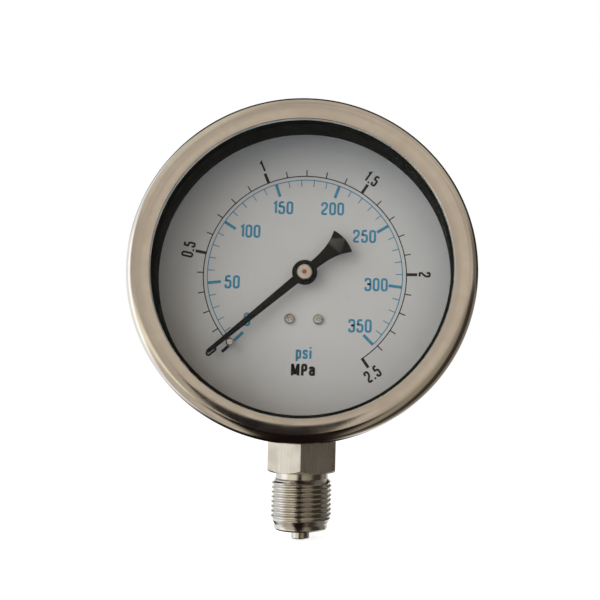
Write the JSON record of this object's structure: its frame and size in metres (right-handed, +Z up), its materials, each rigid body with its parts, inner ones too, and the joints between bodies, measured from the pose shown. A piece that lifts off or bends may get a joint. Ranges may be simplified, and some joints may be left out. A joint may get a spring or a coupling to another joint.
{
  "type": "pressure gauge",
  "caption": "Round dial pressure gauge with a polished bezel, a two-scale white dial, a black pointer and a threaded bottom stem with a hexagon.",
  "frame": {"origin": "on the stem's axis at its flat sealing face, where the centring spigot begins", "axes": "+Z up the stem towards the dial, -Y out of the dial towards the reader, +X to the reader's right"},
  "size_m": [0.1068, 0.0509, 0.1384],
  "materials": {
    "case_steel": "satin",
    "polished_steel": "polished",
    "window_glass": "clear",
    "black_rubber": "matt",
    "dial_white": "satin white with printed scales",
    "brass": "machined",
    "plated_steel": "bright",
    "bronze": "bright",
    "tube_steel": "drawn",
    "socket_steel": "turned",
    "pointer_black": "satin black",
    "hub_nickel": "turned"
  },
  "bodies": {
    "gauge": {"case": "case_steel", "window": "window_glass", "window_gasket": "black_rubber", "dial": "dial_white", "dial_posts": "brass", "dial_screws": "plated_steel", "stop_pin": "plated_steel", "front_plate": "brass", "back_plate": "brass", "movement_pillars": "brass", "plate_screws": "plated_steel", "movement_screws": "plated_steel", "hairspring": "bronze", "hairspring_stud": "brass", "bourdon_tube": "tube_steel", "socket": "socket_steel", "restrictor_screw": "brass", "stem_seal": "black_rubber", "case_screws": "plated_steel", "screw_washers": "plated_steel", "vent_plug": "black_rubber"},
    "bezel": {"bezel_ring": "polished_steel"},
    "pointer": {"pointer": "pointer_black", "pointer_hub": "hub_nickel", "pinion_shaft": "plated_steel", "hairspring_collet": "brass"},
    "sector": {"sector_gear": "brass", "sector_arbor": "plated_steel", "sector_pin": "plated_steel"},
    "tip": {"tube_tip": "socket_steel", "link_screw": "plated_steel"},
    "link": {"link": "brass"}
  },
  "joints": [
    {"name": "pointer_turn", "type": "hinge", "parent": "gauge", "child": "pointer", "pos_m": [0, -0.015, 0.082], "axis": [0, 1, 0], "range_deg": [0, 277], "stiffness_Nm_per_rad": 0.00005, "springref_deg": -57.3, "deforming": ["hairspring"]},
    {"name": "sector_turn", "type": "hinge", "parent": "gauge", "child": "sector", "pos_m": [0.01272, -0.0064, 0.06165], "axis": [0, 1, 0], "range_deg": [-31, 0]},
    {"name": "tip_travel", "type": "hinge", "parent": "gauge", "child": "tip", "pos_m": [-0.00497, 0.004, 0.09115], "axis": [0, 1, 0], "range_deg": [-4.05, 0], "deforming": ["bourdon_tube"]},
    {"name": "link_turn", "type": "hinge", "parent": "tip", "child": "link", "pos_m": [0.02675, -0.005, 0.0761], "axis": [0, 1, 0], "range_deg": [0, 3.3]},
    {"name": "bezel_turn", "type": "hinge", "parent": "gauge", "child": "bezel", "pos_m": [0, -0.027, 0.082], "axis": [0, 1, 0], "range_deg": [-25, 0]}
  ],
  "couplings": [
    {"joint": "sector_turn", "follows": "pointer_turn", "ratio": -0.11111},
    {"joint": "tip_travel", "follows": "pointer_turn", "ratio": -0.01444},
    {"joint": "link_turn", "follows": "pointer_turn", "ratio": 0.011624}
  ]
}
